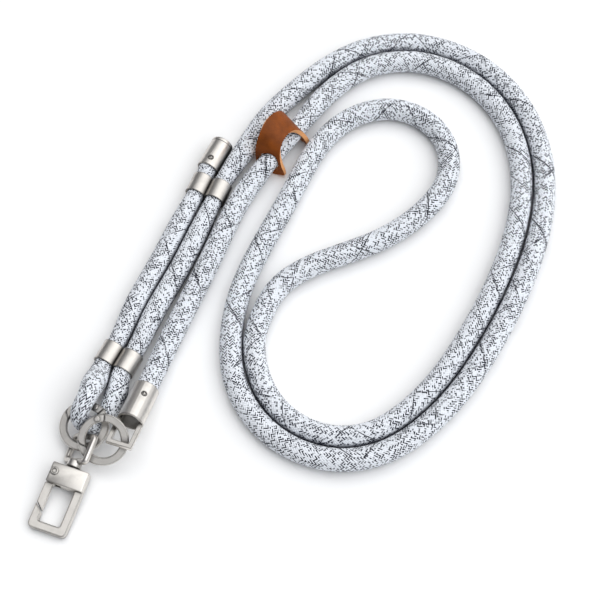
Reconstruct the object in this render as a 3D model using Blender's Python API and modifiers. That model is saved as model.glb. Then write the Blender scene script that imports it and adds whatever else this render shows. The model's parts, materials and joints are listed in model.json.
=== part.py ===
"""A crossbody phone strap: one braided rope with two clamps, two end caps, two spring rings,
a leather keeper and a swivel clip, lying on a floor at z = 0. Metres, +Z up.

The origin is on the floor, under the middle of the metal and leather pieces. The clip points
along -Y, and its swivel axis leans up a little towards the rings that it hangs on."""
import math

import bmesh
import bpy
import numpy as np
from mathutils import Matrix, Vector

# Small clearances between pieces
GAP = 0.0003
THIN_GAP = 0.0002

# Rope
ROPE_RADIUS = 0.005
STRAND_PITCH = 0.0107
ROPE_IN_CLAMP = 0.0041
ROPE_IN_STOP_CAP = 0.0044
ROPE_IN_BAIL_CAP = 0.0047
ROPE_IN_RING = 0.0042
ROPE_IN_KEEPER = 0.0044
LONGEST_STEP = 0.030
SHARPEST_STEP = math.radians(27)
LOOP_STEP = 0.0215

# Double clamps
CLAMP_LENGTH = 0.010
CLAMP_WALL = 0.00075
CLAMP_BORE = ROPE_IN_CLAMP + GAP
CLAMP_RADIUS = CLAMP_BORE + CLAMP_WALL
CLAMP_PITCH = 2 * CLAMP_BORE + 0.0005
UPPER_CLAMP_AT = (-0.0093, 0.0668)
UPPER_CLAMP_HEADING = math.radians(2.0)
LOWER_CLAMP_AT = (-0.0149, -0.0298)
LOWER_CLAMP_HEADING = math.radians(6.7)

# Stop cap, closed at its far end
STOP_CAP_LENGTH = 0.0162
STOP_CAP_WALL = 0.0007
STOP_CAP_BORE = ROPE_IN_STOP_CAP + GAP
STOP_CAP_RADIUS = STOP_CAP_BORE + STOP_CAP_WALL
STOP_CAP_END = 0.0012
STOP_CAP_AT = (-0.0138, 0.077)
STOP_CAP_HEADING = math.radians(5.5)
STOP_CAP_SCREW_FROM_MOUTH = 0.0038

# Bail cap, open at its mouth, with a square wire bail
BAIL_CAP_LENGTH = 0.0190
BAIL_CAP_WALL = 0.0009
BAIL_CAP_BORE = ROPE_IN_BAIL_CAP + 0.0004
BAIL_CAP_RADIUS = BAIL_CAP_BORE + BAIL_CAP_WALL
BAIL_CAP_AT = (0.00305, -0.05835, 0.01044)
BAIL_CAP_HEADING = math.radians(-0.6)
BAIL_CAP_DIP = math.radians(10.2)
BAIL_CAP_ROLL = math.radians(-2.1)
BAIL_CAP_ROPE_STOPS = 0.0075
BAIL_CAP_SCREW_FROM_MOUTH = 0.0125
BAIL_CAP_SCREW_ROLL = math.radians(18)
BAIL_REACH = 0.01336
BAIL_WIRE_WIDTH = 0.0020
BAIL_WIRE_DEPTH = 0.0018
BAIL_ROOT = 0.0030

# Grub screws in both caps
SCREW_RADIUS = 0.0008
SCREW_SINK = 0.0001

# Spring rings
RING_RADIUS = 0.0112
RING_BAND = 0.0035
RING_THICKNESS = 0.0022
RING_EDGE = 0.0004
RING_PIN_FROM_JOINT = 0.0033
RING_PIN_RADIUS = 0.00055
RING_PIN_HEAD = 0.00135
RING_PIN_HEAD_HEIGHT = 0.00035
RING_JOINT_GAP = 0.0005
RING_NOTCH_GAP = 0.0006
RING_NOTCH_OUTER = math.radians(91)
RING_NOTCH_INNER = math.radians(119)
RING_SLOT = 0.0011
RING_TANG = 0.0006
RING_TANG_ROOT = 0.0012
ROPE_RING_AT = (-0.0156, -0.06597, 0.00768)
ROPE_RING_SLOPE = (0.066, 0.253)
ROPE_RING_TURN = math.radians(58)
CAP_RING_AT = (-0.0045, -0.07026, 0.01077)
CAP_RING_SLOPE = (-0.138, 0.506)
CAP_RING_TURN = math.radians(107.6)

# Swivel clip; its own frame has +Y along the swivel and +Z out of its flat face
CLIP_AT = (-0.0131, -0.09, 0.00485)
CLIP_PITCH = math.radians(6.8)
BLOCK_WIDTH = 0.0170
BLOCK_LENGTH = 0.0094
BLOCK_THICKNESS = 0.0060
BLOCK_EDGE = 0.0007
HOOK_WIDTH = 0.0176
HOOK_REACH = 0.0254
HOOK_BAR = 0.0037
HOOK_THICKNESS = 0.0036
HOOK_CORNER = 0.0022
HOOK_EDGE = 0.0004
GATE_THICKNESS = 0.0026
GATE_BAR = 0.0036
GATE_TIP_OUTER = 0.55 * HOOK_REACH
GATE_TIP_INNER = 0.68 * HOOK_REACH
GATE_SWING = math.radians(22)
GATE_PIVOT_FROM_SIDE = 0.0022
GATE_PIVOT_Y = 0.0006
GATE_EYE = 0.0020
GATE_EDGE = 0.0003
PIN_RADIUS = 0.0009
PIN_HEAD = 0.0018
PIN_HEAD_HEIGHT = 0.0004
PIN_DIMPLE = 0.0011

# Stirrup, the swivelling eye on top of the clip
STIRRUP_HALF_SPAN = 0.00685
STIRRUP_BAR = 0.0025
STIRRUP_DEPTH = 0.0028
STIRRUP_REACH = 0.0212
STIRRUP_RISE = 0.0020
STIRRUP_ROLL = math.radians(41.2)
STIRRUP_CORNER = 0.0026
STIRRUP_INNER_CORNER = 0.0010
STIRRUP_EDGE = 0.0009
DRUM_RADIUS = 0.0032
DRUM_HEIGHT = 0.0034
DRUM_EDGE = 0.0004
POST_RADIUS = 0.0016
POST_DEPTH = 0.0030

# Leather keeper; its own frame has +Y along the rope, +X to the near side and its origin on the rope's axis
KEEPER_AT = (0.0153, 0.1013, 0.0067)
KEEPER_HEADING = math.radians(16)
KEEPER_LEAN = math.radians(14.4)
KEEPER_CREST_TILT = math.radians(28)
LEATHER = 0.0020
KEEPER_HALF_SPAN = 0.0106
KEEPER_SPREAD = 0.09
KEEPER_FLARE = 0.0015
KEEPER_RISE = 0.0137
KEEPER_SHOULDER = -0.0010
KEEPER_LEG = 0.0054
KEEPER_END_WIDTH = 0.0154
KEEPER_NECK_WIDTH = 0.0120
KEEPER_CORNER_CUT = 0.0022
KEEPER_HOLE = ROPE_IN_KEEPER + 0.0007

# Colours
NICKEL = (0.60, 0.58, 0.55)
NICKEL_LIGHT = (0.72, 0.70, 0.67)
ROPE_COLOUR = (0.70, 0.72, 0.80)
LEATHER_COLOUR = (0.26, 0.062, 0.012)

# The rope's route on the floor, in three lists of (x, y, z, radius), point by point
HANGING_BEND = [
    (-0.01962, -0.0410, 0.0072, 0.0043),
    (-0.01859, -0.0498, 0.0131, 0.0043),
    (-0.01771, -0.0572, 0.0164, ROPE_IN_RING),
    (-0.01831, -0.0620, 0.0147, ROPE_IN_RING),
    (-0.01716, -0.0645, 0.0084, 0.0041),
    (-0.01428, -0.0641, 0.0056, 0.0040),
    (-0.01163, -0.0620, 0.0042, 0.0040),
    (-0.0098, -0.0570, 0.0043, 0.0040),
    (-0.0093, -0.0460, 0.0047, 0.0043),
]
LEFT_STRAND = [(-0.0153, 0.0440), (-0.0166, 0.0210), (-0.0185, -0.0040)]
RIGHT_STRAND = [(-0.0087, -0.0050), (-0.0065, 0.0200), (-0.0053, 0.0430)]
TIGHT_RADIUS = 0.0047
LOOP_START = [(-0.0018, 0.0860)]
OUTER_LOOP = [
    (-0.0008, 0.0990), (0.0068, 0.1259), (0.0202, 0.1529), (0.0411, 0.1741), (0.0698, 0.1817),
    (0.0986, 0.1746), (0.1217, 0.1558), (0.1404, 0.1170), (0.1441, 0.0740), (0.1394, 0.0320),
    (0.1233, -0.0163), (0.1031, -0.0381), (0.0743, -0.0438), (0.0472, -0.0319), (0.0303, -0.0075),
]
INNER_LOOP = [
    (0.0242, 0.0217), (0.0254, 0.0517), (0.0283, 0.0816), (0.0314, 0.1080), (0.0399, 0.1270),
    (0.0574, 0.1395), (0.0799, 0.1363), (0.0939, 0.1150), (0.0889, 0.0890), (0.0729, 0.0660),
    (0.0534, 0.0480), (0.0399, 0.0290), (0.0376, 0.0120),
]
INNER_STRAND_FIRST = 5
KEEPER_RUN = [(0.0224, 0.1290, 0.0055)]
LAST_STRAND = [(0.0090, 0.0800), (0.0061, 0.0620), (0.0053, 0.0395), (0.0045, 0.0165), (0.0032, -0.0100)]


def clear_scene():
    for item in list(bpy.data.objects):
        bpy.data.objects.remove(item, do_unlink=True)


def collection(name):
    made = bpy.data.collections.new(name)
    bpy.context.scene.collection.children.link(made)
    return made


def material(name, colour, metallic, roughness):
    made = bpy.data.materials.new(name)
    made.use_nodes = True
    shader = made.node_tree.nodes["Principled BSDF"]
    shader.inputs["Base Color"].default_value = (*colour, 1)
    shader.inputs["Metallic"].default_value = metallic
    shader.inputs["Roughness"].default_value = roughness
    return made


def heading_matrix(at, heading, dip=0.0, roll=0.0):
    """A frame at a point whose +Y runs along a compass heading, dipped and rolled."""
    turn = Matrix.Rotation(-heading, 4, "Z") @ Matrix.Rotation(-dip, 4, "X") @ Matrix.Rotation(roll, 4, "Y")
    return Matrix.Translation(at) @ turn


def slope_matrix(at, slope, turn):
    """A frame at a point whose XY plane rises by slope along X and Y, turned about its normal."""
    normal = Vector((-slope[0], -slope[1], 1)).normalized()
    across = Vector((1, 0, slope[0])).normalized()
    along = normal.cross(across)
    base = Matrix((across, along, normal)).transposed().to_4x4()
    return Matrix.Translation(at) @ base @ Matrix.Rotation(turn, 4, "Z")


def add_object(name, mesh, where, look=None, place=None):
    made = bpy.data.objects.new(name, mesh)
    where.objects.link(made)
    if look:
        made.data.materials.append(look)
    if place:
        made.matrix_world = place
    return made


def mesh_of(build):
    mesh = bpy.data.meshes.new("shape")
    build.to_mesh(mesh)
    build.free()
    return mesh


def box_mesh(low, high):
    build = bmesh.new()
    size = [b - a for a, b in zip(low, high)]
    middle = [(a + b) / 2 for a, b in zip(low, high)]
    bmesh.ops.create_cube(build, size=1, matrix=Matrix.Translation(middle) @ Matrix.Diagonal((*size, 1)))
    return mesh_of(build)


def rod_mesh(radius, low, high, sides=32, axis="Z"):
    """A cylinder between two heights on one axis."""
    build = bmesh.new()
    turn = {"Z": Matrix.Identity(4), "Y": Matrix.Rotation(-math.pi / 2, 4, "X")}[axis]
    place = turn @ Matrix.Translation((0, 0, (low + high) / 2))
    bmesh.ops.create_cone(build, cap_ends=True, segments=sides, radius1=radius, radius2=radius,
                          depth=high - low, matrix=place)
    return mesh_of(build)


def plate_mesh(outline, thickness, holes=(), edge=0.0, roundness=0):
    """A flat outline of (x, y) points with holes, thick about z = 0 and eased by edge, as a closed mesh."""
    curve = bpy.data.curves.new("outline", "CURVE")
    curve.dimensions = "2D"
    curve.fill_mode = "BOTH"
    curve.extrude = thickness / 2 - edge
    curve.bevel_depth = edge
    curve.bevel_resolution = roundness
    curve.offset = -edge
    for points in (outline, *holes):
        spline = curve.splines.new("POLY")
        spline.points.add(len(points) - 1)
        for point, (x, y) in zip(spline.points, points):
            point.co = (x, y, 0, 1)
        spline.use_cyclic_u = True
    return baked_curve(curve)


def baked_curve(curve):
    holder = bpy.data.objects.new("curve", curve)
    bpy.context.scene.collection.objects.link(holder)
    bpy.context.view_layer.update()
    shape = holder.evaluated_get(bpy.context.evaluated_depsgraph_get())
    mesh = bpy.data.meshes.new_from_object(shape)
    bpy.data.objects.remove(holder, do_unlink=True)
    build = bmesh.new()
    build.from_mesh(mesh)
    bmesh.ops.remove_doubles(build, verts=build.verts, dist=0.000001)
    bmesh.ops.recalc_face_normals(build, faces=build.faces)
    return mesh_of(build)


def turned_mesh(name, profile, steps=40):
    """A profile of (radius, z) points turned about Z with a Screw modifier."""
    build = bmesh.new()
    corners = [build.verts.new((radius, 0, z)) for radius, z in profile]
    for a, b in zip(corners, corners[1:]):
        build.edges.new((a, b))
    if profile[0][0] > 0 and profile[-1][0] > 0:
        build.edges.new((corners[-1], corners[0]))
    holder = add_object(name, mesh_of(build), bpy.context.scene.collection)
    screw = holder.modifiers.new("turn", "SCREW")
    screw.steps = steps
    screw.render_steps = steps
    screw.use_merge_vertices = True
    screw.merge_threshold = 0.000001
    bpy.context.view_layer.update()
    mesh = bpy.data.meshes.new_from_object(holder.evaluated_get(bpy.context.evaluated_depsgraph_get()))
    bpy.data.objects.remove(holder, do_unlink=True)
    build = bmesh.new()
    build.from_mesh(mesh)
    bmesh.ops.remove_doubles(build, verts=build.verts, dist=0.000001)
    bmesh.ops.recalc_face_normals(build, faces=build.faces)
    return mesh_of(build)


def turn_mesh(mesh, matrix):
    mesh.transform(matrix)
    return mesh


def boolean(target, mesh, operation, place=None):
    """Cut with, join or keep a mesh given in the target's own frame, by a live Boolean."""
    cutter = add_object(target.name + "_" + operation.lower(), mesh, CUTTERS)
    cutter.matrix_world = target.matrix_world @ (place or Matrix.Identity(4))
    cutter.hide_render = True
    cutter.display_type = "WIRE"
    step = target.modifiers.new(operation.lower(), "BOOLEAN")
    step.operation = operation
    step.object = cutter
    step.solver = "EXACT"


def rounded(target, width, segments=2, limit=math.radians(50)):
    step = target.modifiers.new("round", "BEVEL")
    step.width = width
    step.segments = segments
    step.limit_method = "ANGLE"
    step.angle_limit = limit


def smooth_look(target):
    """Smooth shading with hard edges kept."""
    target.data.shade_smooth()
    target.data.set_sharp_from_angle(angle=math.radians(35))


def arc(centre, radius, start, end, count):
    """Points of (x, y) on an arc, both ends included."""
    angles = [start + (end - start) * i / (count - 1) for i in range(count)]
    return [(centre[0] + radius * math.cos(a), centre[1] + radius * math.sin(a)) for a in angles]


def rounded_rectangle(low, high, radius, count=5):
    """The outline of a rectangle with round corners, anticlockwise."""
    quarter = math.pi / 2
    corners = [
        ((high[0] - radius, high[1] - radius), 0),
        ((low[0] + radius, high[1] - radius), quarter),
        ((low[0] + radius, low[1] + radius), 2 * quarter),
        ((high[0] - radius, low[1] + radius), 3 * quarter),
    ]
    return [p for centre, start in corners for p in arc(centre, radius, start, start + quarter, count)]


def spline_through(points):
    """A natural cubic spline through the rows of an array, by chord length: its knots and its function."""
    points = np.array(points, float)
    knots = np.r_[0, np.cumsum(np.linalg.norm(np.diff(points[:, :3], axis=0), axis=1))]
    spans = np.diff(knots)
    count = len(points)
    matrix = np.zeros((count, count))
    right = np.zeros((count, 3))
    matrix[0, 0] = matrix[-1, -1] = 1
    slopes = np.diff(points[:, :3], axis=0) / spans[:, None]
    for i in range(1, count - 1):
        matrix[i, i - 1 : i + 2] = spans[i - 1], 2 * (spans[i - 1] + spans[i]), spans[i]
        right[i] = 6 * (slopes[i] - slopes[i - 1])
    bends = np.linalg.solve(matrix, right)

    def at(where):
        i = min(max(int(np.searchsorted(knots, where, side="right")) - 1, 0), count - 2)
        before, after = where - knots[i], knots[i + 1] - where
        curved = (bends[i] * after**3 + bends[i + 1] * before**3) / (6 * spans[i])
        start = points[i, :3] / spans[i] - bends[i] * spans[i] / 6
        end = points[i + 1, :3] / spans[i] - bends[i + 1] * spans[i] / 6
        return curved + start * after + end * before

    return knots, at


def evenly(route):
    """Points at equal steps along the smooth curve through a route, both ends included."""
    knots, at = spline_through(route)
    steps = round(knots[-1] / LOOP_STEP)
    return [tuple(at(knots[-1] * i / steps)) for i in range(steps + 1)]


def beside(route, distance):
    """Points a distance to the right of each point of a flat route, seen along it."""
    knots, at = spline_through(route)
    step = 0.0005
    found = []
    for where, point in zip(knots, route):
        ahead = at(min(where + step, knots[-1])) - at(max(where - step, 0))
        across = np.array([ahead[1], -ahead[0], 0]) / np.linalg.norm(ahead[:2])
        found.append(tuple(np.array(point[:3]) + across * distance))
    return found


def tube_points(frame, offset, length, radius):
    """The rope's points at both ends of a straight bore along a frame's +Y."""
    ends = [frame @ Vector((offset, side * length / 2, 0)) for side in (1, -1)]
    return [(*end, radius) for end in ends]


def rope_route():
    """The whole rope, from the stop cap to the bail cap, as (x, y, z, radius) rows."""
    free = ROPE_RADIUS
    cap = stop_cap_place()
    far = STOP_CAP_LENGTH - STOP_CAP_END - GAP
    route = [(*(cap @ Vector((0, y, 0))), ROPE_IN_STOP_CAP) for y in (far, far / 2, 0)]
    upper, lower = clamp_place(UPPER_CLAMP_AT, UPPER_CLAMP_HEADING), clamp_place(LOWER_CLAMP_AT, LOWER_CLAMP_HEADING)
    half = CLAMP_PITCH / 2
    route += tube_points(upper, -half, CLAMP_LENGTH, ROPE_IN_CLAMP)
    route += [(x, y, free, TIGHT_RADIUS) for x, y in LEFT_STRAND]
    route += tube_points(lower, -half, CLAMP_LENGTH, ROPE_IN_CLAMP)
    route += HANGING_BEND
    route += tube_points(lower, half, CLAMP_LENGTH, ROPE_IN_CLAMP)[::-1]
    route += [(x, y, free, TIGHT_RADIUS) for x, y in RIGHT_STRAND]
    route += tube_points(upper, half, CLAMP_LENGTH, ROPE_IN_CLAMP)[::-1]
    outer = evenly([(*route[-1][:2], free), *[(x, y, free) for x, y in LOOP_START + OUTER_LOOP + INNER_LOOP[:1]]])
    inner = [(x, y, free) for x, y in INNER_LOOP]
    back = beside(outer, STRAND_PITCH)[INNER_STRAND_FIRST:-1]
    route += [(*p, free) for p in outer[1:-1] + inner + back[::-1]]
    route += [(*p, free) for p in KEEPER_RUN]
    keeper = keeper_place()
    reach = KEEPER_HALF_SPAN
    route += [(*(keeper @ Vector((0, y, 0))), ROPE_IN_KEEPER) for y in (reach, 0, -reach)]
    route += [(x, y, free, free) for x, y in LAST_STRAND]
    bail = bail_cap_place()
    route += [(*(bail @ Vector((0, y, 0))), ROPE_IN_BAIL_CAP) for y in (BAIL_CAP_LENGTH, BAIL_CAP_ROPE_STOPS)]
    return route


def sampled(route):
    """The route's smooth curve as rows of (x, y, z, radius), closer where it bends more."""
    knots, at = spline_through(route)
    radii = [row[3] for row in route]
    rows = []
    for start, end in zip(knots, knots[1:]):
        ends = [at(start + 0.0001) - at(start), at(end) - at(end - 0.0001)]
        turn = Vector(ends[0]).angle(Vector(ends[1]))
        count = max(1, math.ceil((end - start) / LONGEST_STEP), math.ceil(turn / SHARPEST_STEP))
        for i in range(count):
            where = start + (end - start) * i / count
            rows.append((*at(where), float(np.interp(where, knots, radii))))
    rows.append((*at(knots[-1]), radii[-1]))
    return rows


def make_rope(parts):
    rows = sampled(rope_route())
    curve = bpy.data.curves.new("rope", "CURVE")
    curve.dimensions = "3D"
    curve.fill_mode = "FULL"
    curve.bevel_depth = ROPE_RADIUS
    curve.bevel_resolution = 4
    curve.use_fill_caps = True
    spline = curve.splines.new("POLY")
    spline.points.add(len(rows) - 1)
    for point, (x, y, z, radius) in zip(spline.points, rows):
        point.co = (x, y, z, 1)
        point.radius = radius / ROPE_RADIUS
    add_object("rope", curve, parts, material("rope_braid", ROPE_COLOUR, 0, 0.8))


def stop_cap_place():
    return heading_matrix((*STOP_CAP_AT, STOP_CAP_RADIUS), STOP_CAP_HEADING)


def bail_cap_place():
    return heading_matrix(BAIL_CAP_AT, BAIL_CAP_HEADING, BAIL_CAP_DIP, BAIL_CAP_ROLL)


def clamp_place(at, heading):
    return heading_matrix((*at, CLAMP_RADIUS), heading)


def keeper_place():
    return heading_matrix(KEEPER_AT, KEEPER_HEADING)


def clip_place():
    return heading_matrix(CLIP_AT, 0, -CLIP_PITCH)


def make_clamp(name, at, heading, parts, look):
    half = CLAMP_LENGTH / 2
    place = clamp_place(at, heading)
    side = CLAMP_PITCH / 2
    tube = turn_mesh(rod_mesh(CLAMP_RADIUS, -half, half, axis="Y"), Matrix.Translation((-side, 0, 0)))
    clamp = add_object(name, tube, parts, look, place)
    other = turn_mesh(rod_mesh(CLAMP_RADIUS, -half, half, axis="Y"), Matrix.Translation((side, 0, 0)))
    boolean(clamp, other, "UNION")
    for x in (-side, side):
        bore = rod_mesh(CLAMP_BORE, -CLAMP_LENGTH, CLAMP_LENGTH, axis="Y")
        boolean(clamp, turn_mesh(bore, Matrix.Translation((x, 0, 0))), "DIFFERENCE")
    smooth_look(clamp)


def make_screw(name, place, radius, bore, parts, look):
    """A grub screw along +Z, from just outside a bore to just under a cap's outer face."""
    low, high = bore + THIN_GAP, radius - SCREW_SINK
    screw = add_object(name, rod_mesh(SCREW_RADIUS, low, high, sides=16), parts, look, place)
    smooth_look(screw)


def make_stop_cap(parts, look):
    """A turned cap, closed at its far end, with a fine groove near that end."""
    edge, groove, lip = 0.0005, 0.00015, 0.0016
    end, radius = STOP_CAP_LENGTH, STOP_CAP_RADIUS
    profile = [
        (0, end), (radius - edge, end), (radius - edge * 0.3, end - edge * 0.3), (radius, end - edge),
        (radius, end - lip), (radius - groove, end - lip - groove), (radius, end - lip - 2 * groove),
        (radius, groove), (radius - groove, 0), (STOP_CAP_BORE, 0),
        (STOP_CAP_BORE, end - STOP_CAP_END), (0, end - STOP_CAP_END),
    ]
    mesh = turn_mesh(turned_mesh("stop_cap_profile", profile, 32), Matrix.Rotation(-math.pi / 2, 4, "X"))
    cap = add_object("stop_cap", mesh, parts, look, stop_cap_place())
    at = Matrix.Translation((0, STOP_CAP_SCREW_FROM_MOUTH, 0))
    boolean(cap, rod_mesh(SCREW_RADIUS + THIN_GAP, 0, 2 * radius, 16), "DIFFERENCE", at)
    smooth_look(cap)
    make_screw("stop_cap_screw", stop_cap_place() @ at, radius, ROPE_IN_STOP_CAP, parts, look)


def make_bail_cap(parts, look):
    """An open tube that the rope ends in, and a square wire bail across its mouth."""
    edge, radius = 0.0003, BAIL_CAP_RADIUS
    profile = [
        (radius - edge, BAIL_CAP_LENGTH), (radius, BAIL_CAP_LENGTH - edge), (radius, edge),
        (radius - edge, 0), (BAIL_CAP_BORE, 0), (BAIL_CAP_BORE, BAIL_CAP_LENGTH),
    ]
    mesh = turn_mesh(turned_mesh("bail_cap_profile", profile, 32), Matrix.Rotation(-math.pi / 2, 4, "X"))
    cap = add_object("bail_cap", mesh, parts, look, bail_cap_place())
    boolean(cap, bail_frame(), "UNION")
    at = Matrix.Translation((0, BAIL_CAP_SCREW_FROM_MOUTH, 0)) @ Matrix.Rotation(BAIL_CAP_SCREW_ROLL, 4, "Y")
    boolean(cap, rod_mesh(SCREW_RADIUS + THIN_GAP, 0, 2 * radius, 16), "DIFFERENCE", at)
    smooth_look(cap)
    make_screw("bail_cap_screw", bail_cap_place() @ at, radius, ROPE_IN_BAIL_CAP, parts, look)


def bail_frame():
    """The bail's U, as one flat outline that runs down one leg and up the other."""
    low, root = -BAIL_REACH, BAIL_ROOT
    outer, inner = BAIL_CAP_RADIUS, BAIL_CAP_RADIUS - BAIL_WIRE_WIDTH
    shoulder = outer - BAIL_CAP_WALL / 2
    corner = 0.0006
    outline = [
        (shoulder, root), (inner, root), (inner, low + BAIL_WIRE_WIDTH), (-inner, low + BAIL_WIRE_WIDTH),
        (-inner, root), (-shoulder, root), (-shoulder, 0), (-outer, -corner),
        *arc((-outer + corner, low + corner), corner, math.pi, 1.5 * math.pi, 4),
        *arc((outer - corner, low + corner), corner, 1.5 * math.pi, 2 * math.pi, 4),
        (outer, -corner), (shoulder, 0),
    ]
    return plate_mesh(outline, BAIL_WIRE_DEPTH)


def ring_section():
    """The spring ring's band with eased edges, as (radius, z) points."""
    inner, outer, half, edge = RING_RADIUS - RING_BAND, RING_RADIUS, RING_THICKNESS / 2, RING_EDGE
    return [
        (inner + edge, half), (outer - edge, half), (outer, half - edge), (outer, edge - half),
        (outer - edge, -half), (inner + edge, -half), (inner, edge - half), (inner, half - edge),
    ]


def gate_sector(spare):
    """The plan of a ring's gate, from the straight joint at angle 0 to the slanted end, grown by spare."""
    far, near = RING_RADIUS * 1.3, RING_RADIUS - RING_BAND * 1.4
    joint = -RING_JOINT_GAP / 2 if spare else RING_JOINT_GAP / 2
    notch = spare / RING_RADIUS
    outer, inner = RING_NOTCH_OUTER + notch, RING_NOTCH_INNER + notch
    middle = (outer + inner) / 2
    bow = math.radians(4)
    way = RING_RADIUS - RING_BAND / 2
    steps = 9
    sweep = [outer * i / steps for i in range(1, steps)]
    back = [inner * i / steps for i in range(steps - 1, 0, -1)]
    polar = [(far, outer), (RING_RADIUS, outer), (way + RING_BAND / 4, middle - bow), (way, middle),
             (way - RING_BAND / 4, middle + bow), (RING_RADIUS - RING_BAND, inner), (near, inner)]
    outline = [(near, joint), (far, joint)]
    outline += [(far * math.cos(a), far * math.sin(a)) for a in sweep]
    outline += [(r * math.cos(a), r * math.sin(a)) for r, a in polar]
    outline += [(near * math.cos(a), near * math.sin(a)) for a in back]
    return outline


def make_ring(prefix, place, parts, look):
    """A flat ring with a hinged gate: a forked gate, a tang on the body and a headed pin."""
    way = RING_RADIUS - RING_BAND / 2
    pin_angle = RING_PIN_FROM_JOINT / way
    pin = Matrix.Rotation(pin_angle, 4, "Z") @ Matrix.Translation((way, 0, 0))
    tall = 4 * RING_THICKNESS
    body = add_object(prefix + "_body", turned_mesh("ring_section", ring_section(), 40), parts, look, place)
    boolean(body, plate_mesh(gate_sector(RING_NOTCH_GAP), tall), "DIFFERENCE")
    eye, half = RING_BAND / 2 - GAP, RING_TANG / 2
    tang = box_mesh((-eye, -RING_PIN_FROM_JOINT - RING_TANG_ROOT, -half), (eye, 0, half))
    boolean(body, tang, "UNION", pin)
    boolean(body, rod_mesh(eye, -half, half, 24), "UNION", pin)
    boolean(body, rod_mesh(RING_PIN_RADIUS + GAP, -tall, tall, 16), "DIFFERENCE", pin)
    smooth_look(body)

    hinge = bpy.data.objects.new(prefix + "_hinge", None)
    parts.objects.link(hinge)
    hinge.matrix_world = place @ pin
    gate_mesh = turn_mesh(turned_mesh("ring_section", ring_section(), 40), pin.inverted())
    gate = add_object(prefix + "_gate", gate_mesh, parts, look)
    gate.parent = hinge
    gate.matrix_world = place @ pin
    boolean(gate, turn_mesh(plate_mesh(gate_sector(0), tall), pin.inverted()), "INTERSECT")
    slot = RING_SLOT / 2
    reach = RING_PIN_FROM_JOINT + RING_BAND
    boolean(gate, box_mesh((-RING_BAND, -reach, -slot), (RING_BAND, 0, slot)), "DIFFERENCE")
    boolean(gate, rod_mesh(RING_BAND / 2 + THIN_GAP, -slot, slot, 24), "DIFFERENCE")
    boolean(gate, rod_mesh(RING_PIN_RADIUS + THIN_GAP, -tall, tall, 16), "DIFFERENCE")
    smooth_look(gate)

    face = RING_THICKNESS / 2 + THIN_GAP
    top, neck = face + RING_PIN_HEAD_HEIGHT, RING_PIN_RADIUS
    profile = [(0, top), (RING_PIN_HEAD * 0.7, top), (RING_PIN_HEAD, face + RING_PIN_HEAD_HEIGHT * 0.4),
               (RING_PIN_HEAD, face), (neck, face), (neck, -face), (RING_PIN_HEAD, -face),
               (RING_PIN_HEAD, -face - RING_PIN_HEAD_HEIGHT * 0.4), (RING_PIN_HEAD * 0.7, -top), (0, -top)]
    rivet = add_object(prefix + "_rivet", turned_mesh("ring_pin", profile, 16), parts, look, place @ pin)
    smooth_look(rivet)


def gate_pivot():
    return (-BLOCK_WIDTH / 2 + GATE_PIVOT_FROM_SIDE, GATE_PIVOT_Y)


def make_clip_body(parts, look, axis_empty):
    """The block that turns on the swivel post, and the square hook with its nose."""
    half = BLOCK_LENGTH / 2
    place = clip_place()
    low = (-BLOCK_WIDTH / 2, -half, -BLOCK_THICKNESS / 2)
    block = add_object("clip_body", box_mesh(low, [-value for value in low]), parts, look)
    block.parent = axis_empty
    block.matrix_world = place
    rounded(block, BLOCK_EDGE, 2)
    boolean(block, plate_mesh(*hook_plate()), "UNION")
    sweep = gate_slot()
    boolean(block, plate_mesh(sweep, GATE_THICKNESS + 2 * GAP), "DIFFERENCE")
    x, y = gate_pivot()
    at = Matrix.Translation((x, y, 0))
    boolean(block, rod_mesh(PIN_RADIUS + THIN_GAP, -BLOCK_THICKNESS, BLOCK_THICKNESS, 16), "DIFFERENCE", at)
    bore = rod_mesh(POST_RADIUS + GAP, half - POST_DEPTH - GAP, 2 * half, 24, axis="Y")
    boolean(block, bore, "DIFFERENCE")
    smooth_look(block)


def hook_plate():
    """The hook's outline, its thickness and its window; the gate's side is open above the nose."""
    outer, reach = HOOK_WIDTH / 2, HOOK_REACH
    inner, floor = outer - HOOK_BAR, HOOK_BAR - HOOK_REACH
    root = -BLOCK_LENGTH / 2 + 0.0012
    slant = (GATE_TIP_INNER - GATE_TIP_OUTER) / GATE_BAR
    nose_outer = -GATE_TIP_OUTER - 2 * GAP
    nose_inner = nose_outer - slant * HOOK_BAR
    small = 0.0010
    outline = [
        (outer - 0.0004, root), (inner, root),
        *arc((inner - small, floor + small), small, 0, -math.pi / 2, 4),
        *arc((-inner + small, floor + small), small, -math.pi / 2, -math.pi, 4),
        (-inner, nose_inner), (-outer, nose_outer),
        *arc((-outer + HOOK_CORNER, -reach + HOOK_CORNER), HOOK_CORNER, math.pi, 1.5 * math.pi, 6),
        *arc((outer - HOOK_CORNER, -reach + HOOK_CORNER), HOOK_CORNER, 1.5 * math.pi, 2 * math.pi, 6),
        (outer, -BLOCK_LENGTH / 2 - 0.0008),
    ]
    return outline, HOOK_THICKNESS, (), HOOK_EDGE


def gate_outline():
    """The clip gate in the clip's own frame: an eye round its pivot, and a bar down to the nose."""
    x, y = gate_pivot()
    outer = -HOOK_WIDTH / 2
    inner = outer + GATE_BAR
    neck = -BLOCK_LENGTH / 2
    return [
        *arc((x, y), GATE_EYE, math.pi, 0, 9),
        (x + GATE_EYE, neck), (inner, neck - 0.0008), (inner, -GATE_TIP_INNER),
        (outer, -GATE_TIP_OUTER), (outer, neck - 0.0004), (x - GATE_EYE, neck),
    ]


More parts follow.
